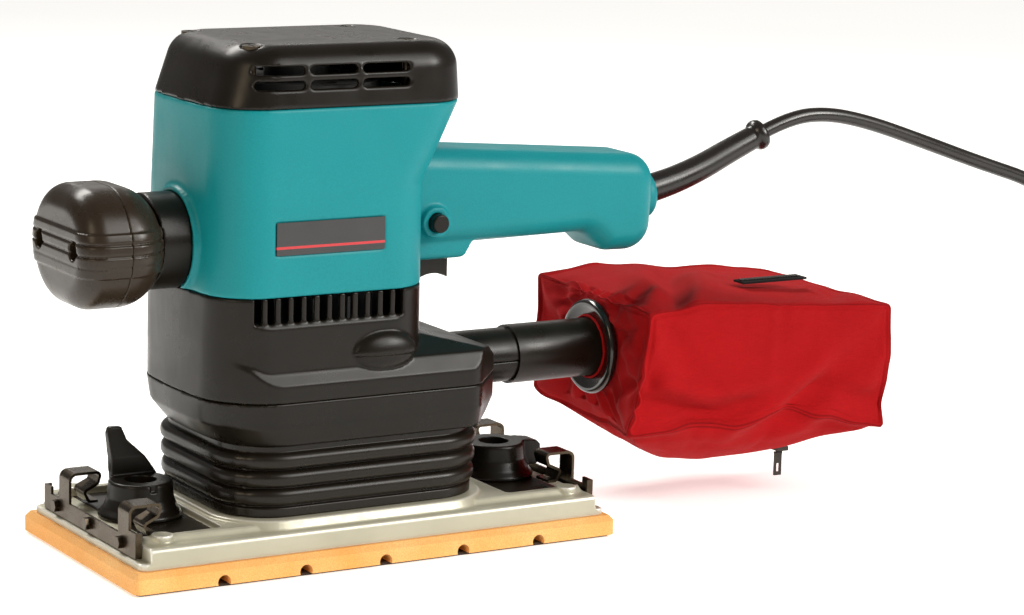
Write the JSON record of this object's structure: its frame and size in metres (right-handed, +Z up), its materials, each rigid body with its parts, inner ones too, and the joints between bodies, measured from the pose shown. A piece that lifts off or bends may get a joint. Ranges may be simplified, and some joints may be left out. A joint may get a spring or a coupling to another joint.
{
  "type": "orbital finishing sander",
  "caption": "Corded half-sheet orbital sander with a front knob, rear grip, paper clamps, rubber bellows and a cloth dust bag.",
  "frame": {"origin": "centre of the sanding face, on the surface that the sander stands on", "axes": "+Z up through the housing, +X towards the grip and the dust bag, -X towards the front knob, -Y the left side"},
  "size_m": [0.606, 0.1665, 0.2205],
  "materials": {
    "teal_plastic": "fine moulded texture, satin",
    "black_plastic": "fine moulded texture, satin",
    "knob_plastic": "satin",
    "bellows_rubber": "satin",
    "black_steel": "oxide finish",
    "plate_aluminium": "cast and lacquered",
    "pad_foam": "matt foam rubber",
    "hook_backing": "short pile",
    "name_plate": "gloss",
    "steel": "zinc plated",
    "core_steel": "laminated",
    "copper": "enamelled wire",
    "brass": "bright",
    "carbon": "matt",
    "fan_plastic": "satin",
    "bracket_plastic": "satin",
    "bearing_steel": "ground",
    "ring_plastic": "gloss",
    "bag_fabric": "woven cotton",
    "zipper_tape": "woven",
    "zipper_metal": "black lacquer",
    "cord_pvc": "semi-gloss",
    "pin_metal": "nickel plated"
  },
  "bodies": {
    "housing": {"housing_left": "teal_plastic", "housing_right": "teal_plastic", "top_cover": "black_plastic", "cap_screws": "black_steel", "name_plate": "name_plate", "lower_housing": "black_plastic", "skirt_cover": "black_plastic", "nozzle_upper": "black_plastic", "nozzle_lower": "black_plastic", "bellows": "bellows_rubber", "bellows_frame": "steel", "knob_front": "knob_plastic", "knob_back": "knob_plastic", "knob_neck": "black_plastic", "knob_bolt": "steel", "knob_screws": "steel", "field_core": "core_steel", "field_coils": "copper", "end_bracket": "bracket_plastic", "brush_holders": "brass", "carbon_brushes": "carbon", "upper_bearing": "bearing_steel", "lower_bearing": "bearing_steel", "bearing_retainer": "steel", "fan_baffle": "steel", "rubber_legs": "bellows_rubber", "switch_body": "black_plastic", "cord_guard": "cord_pvc", "cord_clamp": "black_plastic", "cord": "cord_pvc", "cord_coil": "cord_pvc", "plug_body": "cord_pvc", "plug_pins": "pin_metal"},
    "rotor": {"armature_shaft": "steel", "armature_core": "core_steel", "armature_coils": "copper", "commutator": "copper", "cooling_fan": "fan_plastic", "dust_fan": "fan_plastic", "counterweight": "core_steel"},
    "platen": {"base_plate": "plate_aluminium", "sanding_pad": "pad_foam", "hook_sheet": "hook_backing", "eccentric_bearing": "bearing_steel", "front_lever_screw": "steel", "rear_lever_screw": "steel"},
    "front_lever": {"front_lever": "black_plastic"},
    "rear_lever": {"rear_lever": "black_plastic"},
    "front_clamp": {"front_clamp": "black_steel", "front_clamp_rivets": "black_steel"},
    "rear_clamp": {"rear_clamp": "black_steel", "rear_clamp_rivets": "black_steel"},
    "trigger": {"trigger": "black_plastic"},
    "lock_button": {"lock_button": "black_plastic"},
    "bag": {"bag_tube": "black_plastic", "bag_ring": "ring_plastic", "dust_bag": "bag_fabric", "zipper": "zipper_tape", "zipper_slider": "zipper_metal"},
    "zipper_pull": {"zipper_pull": "zipper_metal"}
  },
  "joints": [
    {"name": "rotor_spin", "type": "hinge", "parent": "housing", "child": "rotor", "pos_m": [-0.016, 0, 0.15], "axis": [0, 0, 1], "continuous": true, "deforming": ["rubber_legs"]},
    {"name": "platen_orbit", "type": "hinge", "parent": "rotor", "child": "platen", "pos_m": [-0.0148, 0, 0.0235], "axis": [0, 0, 1], "continuous": true},
    {"name": "front_lever_turn", "type": "hinge", "parent": "platen", "child": "front_lever", "pos_m": [-0.0872, 0, 0.022], "axis": [0, 0, 1], "range_deg": [0, 90]},
    {"name": "rear_lever_turn", "type": "hinge", "parent": "platen", "child": "rear_lever", "pos_m": [0.0872, 0, 0.022], "axis": [0, 0, 1], "range_deg": [0, 90]},
    {"name": "front_clamp_slide", "type": "slide", "parent": "platen", "child": "front_clamp", "axis": [-1, 0, 0], "range_m": [0, 0.00298]},
    {"name": "rear_clamp_slide", "type": "slide", "parent": "platen", "child": "rear_clamp", "axis": [1, 0, 0], "range_m": [0, 0.00298]},
    {"name": "trigger_press", "type": "slide", "parent": "housing", "child": "trigger", "axis": [0, 0, 1], "range_m": [0, 0.005], "stiffness_N_per_m": 400, "springref_m": -0.004},
    {"name": "lock_press", "type": "slide", "parent": "housing", "child": "lock_button", "axis": [0, 1, 0], "range_m": [0, 0.0025], "stiffness_N_per_m": 300, "springref_m": -0.003},
    {"name": "bag_pull_off", "type": "slide", "parent": "housing", "child": "bag", "axis": [1, 0, 0], "range_m": [0, 0.06]},
    {"name": "zipper_pull_swing", "type": "hinge", "parent": "bag", "child": "zipper_pull", "pos_m": [0.231, -0.021, 0.0184], "axis": [1, 0, 0], "range_deg": [-75, 75]}
  ],
  "couplings": [
    {"joint": "platen_orbit", "follows": "rotor_spin", "ratio": -1},
    {"joint": "front_lever_turn", "follows": "front_clamp_slide", "rad_per_m": 526},
    {"joint": "rear_lever_turn", "follows": "rear_clamp_slide", "rad_per_m": 526}
  ]
}
